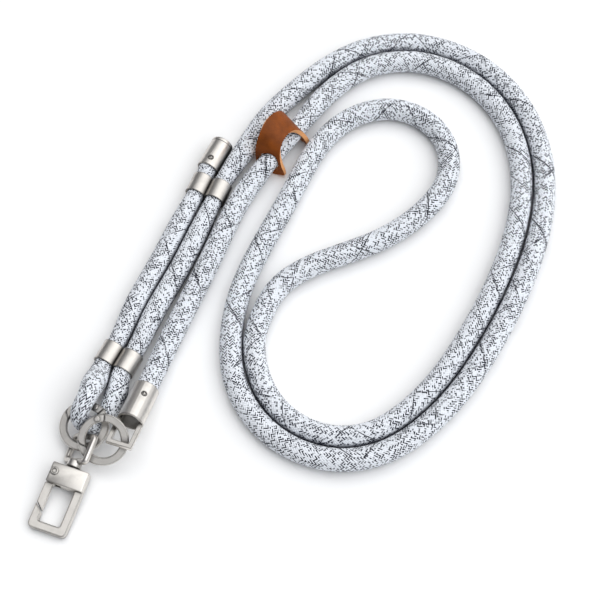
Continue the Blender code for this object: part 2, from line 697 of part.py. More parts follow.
def gate_slot():
    """The room in the block that the gate's eye and neck sweep as the gate swings in."""
    x, y = gate_pivot()
    around = GATE_EYE + GAP
    neck = -BLOCK_LENGTH / 2
    drop = y - neck
    swept = GATE_EYE / math.cos(GATE_SWING) + (drop + 0.0020) * math.tan(GATE_SWING) + GAP
    return [
        *arc((x, y), around, math.pi, 0, 9),
        (x + swept, neck - 0.0020), (-BLOCK_WIDTH, neck - 0.0020), (-BLOCK_WIDTH, y),
    ]


def make_clip_gate(parts, look, axis_empty):
    place = clip_place()
    x, y = gate_pivot()
    pivot = Matrix.Translation((x, y, 0))
    hinge = bpy.data.objects.new("clip_gate_hinge", None)
    parts.objects.link(hinge)
    hinge.parent = axis_empty
    hinge.matrix_world = place @ pivot
    mesh = turn_mesh(plate_mesh(gate_outline(), GATE_THICKNESS, (), GATE_EDGE), pivot.inverted())
    gate = add_object("clip_gate", mesh, parts, look)
    gate.parent = hinge
    gate.matrix_world = place @ pivot
    boolean(gate, rod_mesh(PIN_RADIUS + GAP, -BLOCK_THICKNESS, BLOCK_THICKNESS, 16), "DIFFERENCE")
    smooth_look(gate)

    face = BLOCK_THICKNESS / 2 + THIN_GAP
    top = face + PIN_HEAD_HEIGHT
    profile = [(0, face), (PIN_DIMPLE, face), (PIN_DIMPLE, top), (PIN_HEAD * 0.8, top),
               (PIN_HEAD, face + PIN_HEAD_HEIGHT * 0.5), (PIN_HEAD, face),
               (PIN_RADIUS, face), (PIN_RADIUS, -face), (PIN_HEAD, -face),
               (PIN_HEAD, -face - PIN_HEAD_HEIGHT * 0.5), (PIN_HEAD * 0.8, -top), (0, -top)]
    rivet = add_object("clip_rivet", turned_mesh("clip_pin", profile, 20), parts, look)
    rivet.parent = axis_empty
    rivet.matrix_world = place @ pivot
    smooth_look(rivet)


def make_stirrup(parts, look):
    """The eye on the swivel post: a rounded square loop of thick wire, its drum and the post itself."""
    base = BLOCK_LENGTH / 2 + GAP
    outer = STIRRUP_HALF_SPAN + STIRRUP_BAR / 2
    low, bar = base + STIRRUP_RISE, STIRRUP_BAR
    outside = rounded_rectangle((-outer, low), (outer, STIRRUP_REACH), STIRRUP_CORNER)
    inside = rounded_rectangle((bar - outer, low + bar), (outer - bar, STIRRUP_REACH - bar), STIRRUP_INNER_CORNER)
    place = clip_place() @ Matrix.Rotation(-STIRRUP_ROLL, 4, "Y")
    mesh = plate_mesh(outside, STIRRUP_DEPTH, [inside], STIRRUP_EDGE, 1)
    stirrup = add_object("swivel_stirrup", mesh, parts, look, place)
    top, foot, edge = base + DRUM_HEIGHT, BLOCK_LENGTH / 2 - POST_DEPTH, DRUM_EDGE
    profile = [
        (0, top), (DRUM_RADIUS - edge, top), (DRUM_RADIUS, top - edge), (DRUM_RADIUS, base + edge),
        (DRUM_RADIUS - edge, base), (POST_RADIUS, base), (POST_RADIUS, foot), (0, foot),
    ]
    boolean(stirrup, turn_mesh(turned_mesh("drum", profile, 24), Matrix.Rotation(-math.pi / 2, 4, "X")), "UNION")
    smooth_look(stirrup)


def keeper_point(share, across):
    """A point of the keeper's middle surface: share runs from foot -1 to foot 1, across from -1 to the near edge 1."""
    bent = 0.78
    side = math.copysign(1, share)
    if abs(share) < bent:
        angle = math.pi / 2 * (1 - abs(share) / bent)
        y, z = side * KEEPER_HALF_SPAN * math.cos(angle), KEEPER_RISE * math.sin(angle) + KEEPER_SHOULDER
    else:
        drop = (abs(share) - bent) / (1 - bent)
        y, z = side * (KEEPER_HALF_SPAN + KEEPER_FLARE * drop**2), KEEPER_SHOULDER - drop * KEEPER_LEG
    foot, crest = KEEPER_SHOULDER - KEEPER_LEG, KEEPER_SHOULDER + KEEPER_RISE
    height = (z - foot) / (crest - foot)
    blend = height * height * (3 - 2 * height)
    half = (KEEPER_END_WIDTH + (KEEPER_NECK_WIDTH - KEEPER_END_WIDTH) * blend) / 2
    tilt = KEEPER_CREST_TILT * height
    x = across * half * math.cos(tilt) - z * math.tan(KEEPER_LEAN)
    return x, y * (1 - KEEPER_SPREAD * across), z - across * half * math.sin(tilt)


def make_keeper(parts, look):
    """A leather strip, wide at both ends and narrow in the middle, bent over the rope."""
    rows, columns = 31, 9
    build = bmesh.new()
    bmesh.ops.create_grid(build, x_segments=columns - 1, y_segments=rows - 1, size=1)
    cut = KEEPER_CORNER_CUT / (KEEPER_HALF_SPAN + KEEPER_RISE + KEEPER_LEG)
    for vert in build.verts:
        across, along = vert.co.x, vert.co.y
        vert.co = keeper_point(along * (1 - cut * across**2 * abs(along) ** 3), across)
    bmesh.ops.recalc_face_normals(build, faces=build.faces)
    keeper = add_object("leather_keeper", mesh_of(build), parts, look, keeper_place())
    wall = keeper.modifiers.new("leather", "SOLIDIFY")
    wall.thickness = LEATHER
    wall.offset = 0
    wall.use_even_offset = True
    reach = 2 * KEEPER_HALF_SPAN
    boolean(keeper, rod_mesh(KEEPER_HOLE, -reach, reach, 32, axis="Y"), "DIFFERENCE")
    smooth_look(keeper)


def main():
    parts = collection("crossbody_phone_strap")
    nickel = material("satin_nickel", NICKEL, 1, 0.32)
    bright = material("bright_nickel", NICKEL_LIGHT, 1, 0.25)
    make_rope(parts)
    make_clamp("upper_clamp", UPPER_CLAMP_AT, UPPER_CLAMP_HEADING, parts, nickel)
    make_clamp("lower_clamp", LOWER_CLAMP_AT, LOWER_CLAMP_HEADING, parts, nickel)
    make_stop_cap(parts, nickel)
    make_bail_cap(parts, nickel)
    make_ring("rope_ring", slope_matrix(ROPE_RING_AT, ROPE_RING_SLOPE, ROPE_RING_TURN), parts, bright)
    make_ring("cap_ring", slope_matrix(CAP_RING_AT, CAP_RING_SLOPE, CAP_RING_TURN), parts, bright)
    axis_empty = bpy.data.objects.new("clip_swivel_axis", None)
    parts.objects.link(axis_empty)
    axis_empty.matrix_world = clip_place()
    make_clip_body(parts, nickel, axis_empty)
    make_clip_gate(parts, nickel, axis_empty)
    make_stirrup(parts, bright)
    make_keeper(parts, material("cognac_leather", LEATHER_COLOUR, 0, 0.55))


clear_scene()
CUTTERS = collection("cutters")
main()
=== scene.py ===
import json
import math

import bmesh
import bpy
import numpy as np
from mathutils import Matrix, Vector


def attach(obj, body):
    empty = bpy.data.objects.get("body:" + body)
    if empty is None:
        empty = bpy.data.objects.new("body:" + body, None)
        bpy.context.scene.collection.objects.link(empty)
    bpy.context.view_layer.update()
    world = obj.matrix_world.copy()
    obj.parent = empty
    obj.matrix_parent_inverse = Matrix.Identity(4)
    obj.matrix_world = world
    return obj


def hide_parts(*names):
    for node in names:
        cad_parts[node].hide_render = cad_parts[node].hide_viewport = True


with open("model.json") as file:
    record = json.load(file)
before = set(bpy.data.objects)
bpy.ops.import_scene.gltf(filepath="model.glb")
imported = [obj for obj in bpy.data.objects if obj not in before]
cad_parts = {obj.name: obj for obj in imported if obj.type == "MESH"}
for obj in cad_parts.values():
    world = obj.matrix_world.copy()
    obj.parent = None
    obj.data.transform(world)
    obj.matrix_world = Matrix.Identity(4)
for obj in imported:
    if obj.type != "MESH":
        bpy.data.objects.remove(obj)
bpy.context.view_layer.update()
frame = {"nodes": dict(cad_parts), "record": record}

bl_info = {
    "name": "Crossbody Phone Strap",
    "version": (1, 0, 0),
    "blender": (4, 5, 0),
    "location": "View3D > Sidebar > Strap",
    "description": "Dresses a braided crossbody phone strap with its rope, metal fittings and leather keeper",
    "category": "Object",
}

# Route of the rope, as in the solid model
GAP = 0.0003
ROPE_RADIUS = 0.005
STRAND_PITCH = 0.0107
ROPE_IN_CLAMP = 0.0041
ROPE_IN_STOP_CAP = 0.0044
ROPE_IN_BAIL_CAP = 0.0047
ROPE_IN_RING = 0.0042
ROPE_IN_KEEPER = 0.0044
LOOP_STEP = 0.0215
CLAMP_LENGTH = 0.010
CLAMP_WALL = 0.00075
CLAMP_BORE = ROPE_IN_CLAMP + GAP
CLAMP_RADIUS = CLAMP_BORE + CLAMP_WALL
CLAMP_PITCH = 2 * CLAMP_BORE + 0.0005
UPPER_CLAMP_AT = (-0.0093, 0.0668)
UPPER_CLAMP_HEADING = math.radians(2.0)
LOWER_CLAMP_AT = (-0.0149, -0.0298)
LOWER_CLAMP_HEADING = math.radians(6.7)
STOP_CAP_LENGTH = 0.0162
STOP_CAP_WALL = 0.0007
STOP_CAP_BORE = ROPE_IN_STOP_CAP + GAP
STOP_CAP_RADIUS = STOP_CAP_BORE + STOP_CAP_WALL
STOP_CAP_END = 0.0012
STOP_CAP_AT = (-0.0138, 0.077)
STOP_CAP_HEADING = math.radians(5.5)
BAIL_CAP_LENGTH = 0.0190
BAIL_CAP_AT = (0.00305, -0.05835, 0.01044)
BAIL_CAP_HEADING = math.radians(-0.6)
BAIL_CAP_DIP = math.radians(10.2)
BAIL_CAP_ROLL = math.radians(-2.1)
BAIL_CAP_ROPE_STOPS = 0.0075
KEEPER_AT = (0.0153, 0.1013, 0.0067)
KEEPER_HEADING = math.radians(16)
KEEPER_LEAN = math.radians(14.4)
KEEPER_CREST_TILT = math.radians(28)
KEEPER_HALF_SPAN = 0.0106
KEEPER_SPREAD = 0.09
KEEPER_FLARE = 0.0015
KEEPER_RISE = 0.0137
KEEPER_SHOULDER = -0.0010
KEEPER_LEG = 0.0054
KEEPER_BENT_SHARE = 0.78
KEEPER_END_WIDTH = 0.0154
KEEPER_NECK_WIDTH = 0.0120
HANGING_BEND = [
    (-0.01962, -0.0410, 0.0072, 0.0043),
    (-0.01859, -0.0498, 0.0131, 0.0043),
    (-0.01771, -0.0572, 0.0164, ROPE_IN_RING),
    (-0.01831, -0.0620, 0.0147, ROPE_IN_RING),
    (-0.01716, -0.0645, 0.0084, 0.0041),
    (-0.01428, -0.0641, 0.0056, 0.0040),
    (-0.01163, -0.0620, 0.0042, 0.0040),
    (-0.0098, -0.0570, 0.0043, 0.0040),
    (-0.0093, -0.0460, 0.0047, 0.0043),
]
LEFT_STRAND = [(-0.0153, 0.0440), (-0.0166, 0.0210), (-0.0185, -0.0040)]
RIGHT_STRAND = [(-0.0087, -0.0050), (-0.0065, 0.0200), (-0.0053, 0.0430)]
TIGHT_RADIUS = 0.0047
LOOP_START = [(-0.0018, 0.0860)]
OUTER_LOOP = [
    (-0.0008, 0.0990), (0.0068, 0.1259), (0.0202, 0.1529), (0.0411, 0.1741), (0.0698, 0.1817),
    (0.0986, 0.1746), (0.1217, 0.1558), (0.1404, 0.1170), (0.1441, 0.0740), (0.1394, 0.0320),
    (0.1233, -0.0163), (0.1031, -0.0381), (0.0743, -0.0438), (0.0472, -0.0319), (0.0303, -0.0075),
]
INNER_LOOP = [
    (0.0242, 0.0217), (0.0254, 0.0517), (0.0283, 0.0816), (0.0314, 0.1080), (0.0399, 0.1270),
    (0.0574, 0.1395), (0.0799, 0.1363), (0.0939, 0.1150), (0.0889, 0.0890), (0.0729, 0.0660),
    (0.0534, 0.0480), (0.0399, 0.0290), (0.0376, 0.0120),
]
INNER_STRAND_FIRST = 5
KEEPER_RUN = [(0.0224, 0.1290, 0.0055)]
LAST_STRAND = [(0.0090, 0.0800), (0.0061, 0.0620), (0.0053, 0.0395), (0.0045, 0.0165), (0.0032, -0.0100)]

# Camera, lights and floor
CAMERA_AT = (0.1789, -0.3257, 0.7090)
CAMERA_AIM = (0.0503, 0.0287, 0.0)
CAMERA_LENS = 105.0
CAMERA_SENSOR = 36.0
KEY_LIGHT_AT = (-0.9, 0.7, 1.5)
FILL_LIGHT_AT = (1.2, -0.8, 1.2)
LIGHTS_AIM = (0.05, 0.03, 0.0)
LIGHT_SIZE = 1.6
FLOOR_HALF_SIZE = 4.0
SURROUNDINGS_STOPS = ((0.35, 0.12), (0.60, 0.30), (0.80, 0.72))

# Looks of the rope's sleeve
ROPE_STEP = 0.0015
ROPE_SIDES = 32
FREE_SLEEVE_SWELL = 0.00018
BEND_SLEEVE_SWELL = 0.0010
BEND_SWELL_REACH = 0.0085
BEND_SWELL_AFTER = 0.006
BEND_SWELL_BEFORE = 0.0005
WEAVE_REPEAT = 4.0
WEAVE_OVER = 1.5
PATCH_SCALE = 210.0
OTHER_PATCH_SCALE = 170.0
WIDE_PATCH_SCALE = 60.0
FIBRE_SCALE = 4200.0
# Reach of the painted shade between strands.
SEAM_SHADE_REACH = 0.0035
YARN_RELIEF = 0.0003

# Looks of the fittings and the leather
SCREW_RING_RADIUS = 0.00135
SCREW_RING_HALF_WIDTH = 0.00016
SCREW_SLOT_HALF_LENGTH = 0.0012
SCREW_SLOT_HALF_WIDTH = 0.0002
SCREW_SLOT_ACROSS = (0.8, 0.6, 0.0)
EDGE_SHADE_REACH = 0.0007
METAL_RELIEF = 0.00003
BRUSH_STRETCH = (1.0, 0.06, 1.0)
SCRATCH_SCALE = 900.0
SMUDGE_SCALE = 240.0
PORE_SCALE = 1700.0
CLOUD_SCALE = 190.0
CREASE_SCALE = 1300.0
SATIN = {"roughness": 0.37, "grain": 5200.0, "wear": 0.6}
BRIGHT = {"roughness": 0.33, "grain": 3800.0, "wear": 0.45}
DULL = {"roughness": 0.38, "grain": 5200.0, "wear": 0.7}
DULL_SHADE = 0.86
SCREWS = ("stop_cap_screw", "bail_cap_screw")
FACE_GRAIN = {"shade": 0.62, "grain_depth": 0.00007, "roughness": 0.42}
EDGE_GRAIN = {"shade": 0.8, "grain_depth": 0.00004, "roughness": 0.55}
BACK_GRAIN = {"shade": 0.7, "grain_depth": 0.0001, "roughness": 0.85}
MERGE_DISTANCE = 0.000002
FLAT_ANGLE = math.radians(1)
SHARP_ANGLE = math.radians(35)
KEEPER_ROWS = 61
KEEPER_COLUMNS = 17
FACE_SIDE = 0.55


def heading_matrix(at, heading, dip=0.0, roll=0.0):
    """A frame at a point whose +Y runs along a compass heading, dipped and rolled."""
    turn = Matrix.Rotation(-heading, 4, "Z") @ Matrix.Rotation(-dip, 4, "X") @ Matrix.Rotation(roll, 4, "Y")
    return Matrix.Translation(at) @ turn


def spline_through(points):
    """A natural cubic spline through rows of points by chord length: its knots and its function."""
    points = np.array(points, float)
    knots = np.r_[0, np.cumsum(np.linalg.norm(np.diff(points[:, :3], axis=0), axis=1))]
    spans = np.diff(knots)
    count = len(points)
    matrix = np.zeros((count, count))
    right = np.zeros((count, 3))
    matrix[0, 0] = matrix[-1, -1] = 1
    slopes = np.diff(points[:, :3], axis=0) / spans[:, None]
    for i in range(1, count - 1):
        matrix[i, i - 1 : i + 2] = spans[i - 1], 2 * (spans[i - 1] + spans[i]), spans[i]
        right[i] = 6 * (slopes[i] - slopes[i - 1])
    bends = np.linalg.solve(matrix, right)

    def at(where):
        i = min(max(int(np.searchsorted(knots, where, side="right")) - 1, 0), count - 2)
        before, after = where - knots[i], knots[i + 1] - where
        curved = (bends[i] * after**3 + bends[i + 1] * before**3) / (6 * spans[i])
        start = points[i, :3] / spans[i] - bends[i] * spans[i] / 6
        end = points[i + 1, :3] / spans[i] - bends[i + 1] * spans[i] / 6
        return curved + start * after + end * before

    return knots, at


def evenly(route):
    """Points at equal steps along the smooth curve through a route, both ends included."""
    knots, at = spline_through(route)
    steps = round(knots[-1] / LOOP_STEP)
    return [tuple(at(knots[-1] * i / steps)) for i in range(steps + 1)]


def beside(route, distance):
    """Points a distance to the right of each point of a flat route, seen along it."""
    knots, at = spline_through(route)
    step = 0.0005
    found = []
    for where, point in zip(knots, route):
        ahead = at(min(where + step, knots[-1])) - at(max(where - step, 0))
        across = np.array([ahead[1], -ahead[0], 0]) / np.linalg.norm(ahead[:2])
        found.append(tuple(np.array(point[:3]) + across * distance))
    return found


def tube_points(place, offset, length, radius):
    """The rope's points at both ends of a straight bore along a frame's +Y."""
    ends = [place @ Vector((offset, side * length / 2, 0)) for side in (1, -1)]
    return [(*end, radius) for end in ends]


def stop_cap_place():
    return heading_matrix((*STOP_CAP_AT, STOP_CAP_RADIUS), STOP_CAP_HEADING)


def bail_cap_place():
    return heading_matrix(BAIL_CAP_AT, BAIL_CAP_HEADING, BAIL_CAP_DIP, BAIL_CAP_ROLL)


def clamp_place(at, heading):
    return heading_matrix((*at, CLAMP_RADIUS), heading)


def keeper_place():
    return heading_matrix(KEEPER_AT, KEEPER_HEADING)


def keeper_point(share, across):
    """A point of the keeper's middle surface, by shares from -1 to 1, foot to foot and edge to edge."""
    bent = KEEPER_BENT_SHARE
    side = math.copysign(1, share)
    if abs(share) < bent:
        angle = math.pi / 2 * (1 - abs(share) / bent)
        y, z = side * KEEPER_HALF_SPAN * math.cos(angle), KEEPER_RISE * math.sin(angle) + KEEPER_SHOULDER
    else:
        drop = (abs(share) - bent) / (1 - bent)
        y, z = side * (KEEPER_HALF_SPAN + KEEPER_FLARE * drop**2), KEEPER_SHOULDER - drop * KEEPER_LEG
    foot, crest = KEEPER_SHOULDER - KEEPER_LEG, KEEPER_SHOULDER + KEEPER_RISE
    height = (z - foot) / (crest - foot)
    blend = height * height * (3 - 2 * height)
    half = (KEEPER_END_WIDTH + (KEEPER_NECK_WIDTH - KEEPER_END_WIDTH) * blend) / 2
    tilt = KEEPER_CREST_TILT * height
    x = across * half * math.cos(tilt) - z * math.tan(KEEPER_LEAN)
    return x, y * (1 - KEEPER_SPREAD * across), z - across * half * math.sin(tilt)


def rope_route():
    """The whole rope, from the stop cap to the bail cap, as (x, y, z, radius) rows."""
    free = ROPE_RADIUS
    cap = stop_cap_place()
    far = STOP_CAP_LENGTH - STOP_CAP_END - GAP
    route = [(*(cap @ Vector((0, y, 0))), ROPE_IN_STOP_CAP) for y in (far, far / 2, 0)]
    upper = clamp_place(UPPER_CLAMP_AT, UPPER_CLAMP_HEADING)
    lower = clamp_place(LOWER_CLAMP_AT, LOWER_CLAMP_HEADING)
    half = CLAMP_PITCH / 2
    route += tube_points(upper, -half, CLAMP_LENGTH, ROPE_IN_CLAMP)
    route += [(x, y, free, TIGHT_RADIUS) for x, y in LEFT_STRAND]
    route += tube_points(lower, -half, CLAMP_LENGTH, ROPE_IN_CLAMP)
    route += HANGING_BEND
    route += tube_points(lower, half, CLAMP_LENGTH, ROPE_IN_CLAMP)[::-1]
    route += [(x, y, free, TIGHT_RADIUS) for x, y in RIGHT_STRAND]
    route += tube_points(upper, half, CLAMP_LENGTH, ROPE_IN_CLAMP)[::-1]
    chosen = LOOP_START + OUTER_LOOP + INNER_LOOP[:1]
    outer = evenly([(*route[-1][:2], free), *[(x, y, free) for x, y in chosen]])
    inner = [(x, y, free) for x, y in INNER_LOOP]
    back = beside(outer, STRAND_PITCH)[INNER_STRAND_FIRST:-1]
    route += [(*p, free) for p in outer[1:-1] + inner + back[::-1]]
    route += [(*p, free) for p in KEEPER_RUN]
    keeper = keeper_place()
    reach = KEEPER_HALF_SPAN
    route += [(*(keeper @ Vector((0, y, 0))), ROPE_IN_KEEPER) for y in (reach, 0, -reach)]
    route += [(x, y, free, free) for x, y in LAST_STRAND]
    bail = bail_cap_place()
    route += [(*(bail @ Vector((0, y, 0))), ROPE_IN_BAIL_CAP) for y in (BAIL_CAP_LENGTH, BAIL_CAP_ROPE_STOPS)]
    return route


def new_object(name, mesh, look):
    """A new object whose mesh has one material."""
    made = bpy.data.objects.new(name, mesh)
    bpy.context.scene.collection.objects.link(made)
    mesh.materials.clear()
    mesh.materials.append(look)
    return made


class Nodes:
    """Adds and joins the nodes of one material."""

    def __init__(self, name):
        self.material = bpy.data.materials.new(name)
        self.material.use_nodes = True
        self.tree = self.material.node_tree
        self.shader = self.tree.nodes["Principled BSDF"]

    def add(self, kind, inputs=(), **settings):
        node = self.tree.nodes.new(kind)
        for key, value in settings.items():
            setattr(node, key, value)
        for key, value in dict(inputs).items():
            self.feed(node, key, value)
        return node

    def feed(self, node, key, value):
        if isinstance(value, bpy.types.NodeSocket):
            self.tree.links.new(value, node.inputs[key])
        else:
            node.inputs[key].default_value = value

    def math(self, operation, a, b=0.0, c=0.0):
        return self.add("ShaderNodeMath", {0: a, 1: b, 2: c}, operation=operation).outputs[0]

    def blend(self, factor, a, b):
        node = self.add("ShaderNodeMix", data_type="RGBA")
        self.feed(node, 0, factor)
        self.feed(node, 6, a)
        self.feed(node, 7, b)
        return node.outputs[2]

    def bump(self, height, distance, strength):
        values = {"Height": height, "Distance": distance, "Strength": strength}
        return self.add("ShaderNodeBump", values).outputs[0]

    def dot(self, a, b):
        return self.add("ShaderNodeVectorMath", {0: a, 1: b}, operation="DOT_PRODUCT").outputs["Value"]

    def fade(self, value, start, end, first=0.0, last=1.0):
        """A value that goes from first to last while the given one goes from start to end."""
        return self.add("ShaderNodeMapRange", {0: value, 1: start, 2: end, 3: first, 4: last}).outputs[0]

    def noise(self, place, scale, detail):
        return self.add("ShaderNodeTexNoise", {0: place, "Scale": scale, "Detail": detail}).outputs[0]

    def cracks(self, place, scale):
        """The distance to the nearest edge of a net of small cells."""
        net = self.add("ShaderNodeTexVoronoi", {0: place, "Scale": scale}, feature="DISTANCE_TO_EDGE")
        return net.outputs[0]

    def open_sky(self, reach):
        return self.add("ShaderNodeAmbientOcclusion", {"Distance": reach}, samples=8).outputs["AO"]


def braid_material(p):
    """A round braided sleeve: pale yarns over and under, with dark flecks and fine dark tracers, and painted
    shade in the weave's hollows and deep between strands.
    """
    n = Nodes("rope_braid")
    run = n.add("ShaderNodeUVMap", uv_map="rope_run").outputs[0]
    split = n.add("ShaderNodeSeparateXYZ", {0: run})
    around = n.math("MULTIPLY", split.outputs[0], float(p.carriers))
    along = n.math("MULTIPLY", split.outputs[1], p.carriers / p.lay_length)
    right = n.math("ADD", around, along)
    left = n.math("SUBTRACT", around, along)
    row, column = n.math("FLOOR", right), n.math("FLOOR", left)
    in_row, in_column = n.math("FRACT", right), n.math("FRACT", left)
    over = n.math("LESS_THAN", n.math("FLOORED_MODULO", n.math("ADD", row, column), WEAVE_REPEAT), WEAVE_OVER)
    under = n.math("SUBTRACT", 1.0, over)
    across = n.math("ADD", n.math("MULTIPLY", over, in_row), n.math("MULTIPLY", under, in_column))
    length = n.math("ADD", n.math("MULTIPLY", over, in_column), n.math("MULTIPLY", under, in_row))
    crown = n.math("MULTIPLY", n.math("PINGPONG", across, 0.5), 2.0)
    arch = n.math("MULTIPLY", n.math("PINGPONG", length, 0.5), 2.0)
    height = n.math("ADD", n.math("POWER", crown, 0.6), n.math("MULTIPLY", n.math("POWER", arch, 0.5), 0.5))
    spaced_row, spaced_column = n.math("MULTIPLY", row, 1.37), n.math("MULTIPLY", column, 1.91)
    cell = n.add("ShaderNodeCombineXYZ", {0: spaced_row, 1: spaced_column})
    spread = n.add("ShaderNodeTexWhiteNoise", {0: cell.outputs[0]}, noise_dimensions="2D").outputs[0]
    place = n.add("ShaderNodeTexCoord").outputs["Object"]
    patch = n.noise(place, PATCH_SCALE, 2.0)
    wide = n.noise(place, WIDE_PATCH_SCALE, 1.0)
    tracer = n.math("LESS_THAN", n.math("PINGPONG", n.math("ADD", row, 0.01), p.carriers / 4), 0.6)
    shift = n.add("ShaderNodeVectorMath", {0: place, 1: (0.31, 0.17, 0.23)}, operation="ADD").outputs[0]
    other = n.noise(shift, OTHER_PATCH_SCALE, 1.0)
    one_way = n.math("MULTIPLY", n.math("GREATER_THAN", patch, 0.57), n.math("MULTIPLY", over, 0.3))
    other_way = n.math("MULTIPLY", n.math("GREATER_THAN", other, 0.56), n.math("MULTIPLY", under, 0.3))
    lines = n.math("ADD", one_way, other_way)
    share = n.math("ADD", p.flecks, n.math("MULTIPLY", n.math("SUBTRACT", wide, 0.5), 0.25))
    share = n.math("ADD", share, n.math("MULTIPLY", n.math("SUBTRACT", patch, 0.5), 0.35))
    share = n.math("ADD", share, n.math("ADD", n.math("MULTIPLY", tracer, 0.35), lines))
    weight = n.fade(n.math("SUBTRACT", share, spread), -0.10, 0.12)
    band = n.fade(across, p.fleck_width, p.fleck_width + 0.08, 1.0, 0.0)
    fleck = n.math("MULTIPLY", weight, band)
    # Painted shade: the low hollows of the weave are darkened towards the gap colour.
    weave_hollow_shade = n.fade(height, 0.15, 0.95, 1.0, 0.0)
    greyer = [c * 0.86 for c in p.yarn_colour]
    pale = n.blend(n.math("MULTIPLY", patch, 0.6), (*p.yarn_colour, 1), (*greyer, 1))
    ground = n.blend(n.math("MULTIPLY", weave_hollow_shade, 0.12), pale, (*p.gap_shade_colour, 1))
    colour = n.blend(fleck, ground, (*p.fleck_colour, 1))
    wander = n.math("MULTIPLY", n.math("SUBTRACT", wide, 0.5), 1.6)
    one = n.math("PINGPONG", n.math("ADD", right, wander), p.carriers / 2)
    two = n.math("PINGPONG", n.math("ADD", n.math("ADD", left, p.carriers * 0.4), wander), p.carriers / 2)
    thread = n.math("LESS_THAN", n.math("MINIMUM", one, two), p.tracer_width)
    broken = n.fade(other, 0.36, 0.52)
    thread = n.math("MULTIPLY", n.math("MULTIPLY", thread, broken), 0.85)
    colour = n.blend(thread, colour, (*p.fleck_colour, 1))
    # Painted shade: the rope darkens towards the seam colour where ambient occlusion finds little open sky,
    # deep between strands.
    occlusion_shade = n.fade(n.open_sky(SEAM_SHADE_REACH), 0.20, 0.70, 0.85, 0.0)
    colour = n.blend(occlusion_shade, colour, (*p.seam_shade_colour, 1))
    fibre = n.noise(place, FIBRE_SCALE, 3.0)
    n.feed(n.shader, "Base Color", colour)
    n.feed(n.shader, "Roughness", n.fade(fibre, 0.0, 1.0, 0.62, 0.9))
    relief = n.math("ADD", height, n.math("MULTIPLY", fibre, 0.35))
    n.feed(n.shader, "Normal", n.bump(relief, YARN_RELIEF, 0.8))
    n.shader.inputs["Specular IOR Level"].default_value = 0.08
    return n.material


def screw_mark(n, place, node):
    """The dark outline and slot of a set screw, drawn round the screw's place on its cap."""
    corners = [Vector(v.co) for v in frame["nodes"][node].data.vertices]
    middle = sum(corners, Vector()) / len(corners)
    away = n.add("ShaderNodeVectorMath", {0: place, 1: middle}, operation="SUBTRACT").outputs[0]
    far = n.add("ShaderNodeVectorMath", {0: away}, operation="LENGTH").outputs["Value"]
    off_ring = n.math("ABSOLUTE", n.math("SUBTRACT", far, SCREW_RING_RADIUS))
    ring = n.math("LESS_THAN", off_ring, SCREW_RING_HALF_WIDTH)
    off_slot = n.math("ABSOLUTE", n.dot(away, SCREW_SLOT_ACROSS))
    slot = n.math("LESS_THAN", off_slot, SCREW_SLOT_HALF_WIDTH)
    slot = n.math("MULTIPLY", slot, n.math("LESS_THAN", far, SCREW_SLOT_HALF_LENGTH))
    return n.math("MAXIMUM", ring, slot)


def metal_material(name, colour, crevice_shade, roughness, grain, wear, screws=()):
    """Plated metal with a fine brushed grain, small scratches, finger marks and worn patches, and painted
    shade in corners, in gaps and on turned edges.
    """
    n = Nodes(name)
    place = n.add("ShaderNodeTexCoord").outputs["Object"]
    stretched = n.add("ShaderNodeMapping", {0: place, "Scale": BRUSH_STRETCH}).outputs[0]
    brushed = n.noise(stretched, grain, 4.0)
    smudge = n.noise(place, SMUDGE_SCALE, 3.0)
    fine = n.fade(n.cracks(stretched, SCRATCH_SCALE), 0.0, 0.03, 1.0, 0.0)
    worn = n.fade(smudge, 0.5, 0.75)
    tone = n.blend(n.math("MULTIPLY", worn, wear), (*colour, 1), (*[c * 0.78 for c in colour], 1))
    tone = n.blend(n.math("MULTIPLY", fine, 0.12), tone, (0.9, 0.89, 0.87, 1))
    # Painted shade: the metal darkens where ambient occlusion finds little open sky, in corners and gaps.
    occlusion_shade = n.fade(n.open_sky(crevice_shade), 0.40, 0.98, 0.92, 0.0)
    tone = n.blend(occlusion_shade, tone, (*[c * 0.12 for c in colour], 1))
    # Painted shade: faces darken along edges, where the bevelled normal turns away from the true one.
    turned = n.add("ShaderNodeBevel", {"Radius": EDGE_SHADE_REACH}, samples=6).outputs[0]
    flat = n.add("ShaderNodeNewGeometry").outputs["Normal"]
    edge = n.fade(n.dot(turned, flat), 0.998, 0.94, 0.0, 0.85)
    tone = n.blend(edge, tone, (*[c * 0.22 for c in colour], 1))
    for screw in screws:
        mark = n.math("MULTIPLY", screw_mark(n, place, screw), 0.85)
        tone = n.blend(mark, tone, (*[c * 0.08 for c in colour], 1))
    n.feed(n.shader, "Base Color", tone)
    rough = n.math("ADD", n.math("MULTIPLY", brushed, 0.12), n.math("MULTIPLY", smudge, 0.14))
    n.feed(n.shader, "Roughness", n.math("ADD", rough, roughness - 0.13))
    n.shader.inputs["Metallic"].default_value = 1.0
    relief = n.math("ADD", brushed, n.math("MULTIPLY", fine, -0.2))
    relief = n.math("ADD", relief, n.math("MULTIPLY", smudge, 3.0))
    n.feed(n.shader, "Normal", n.bump(relief, METAL_RELIEF, 0.8))
    return n.material


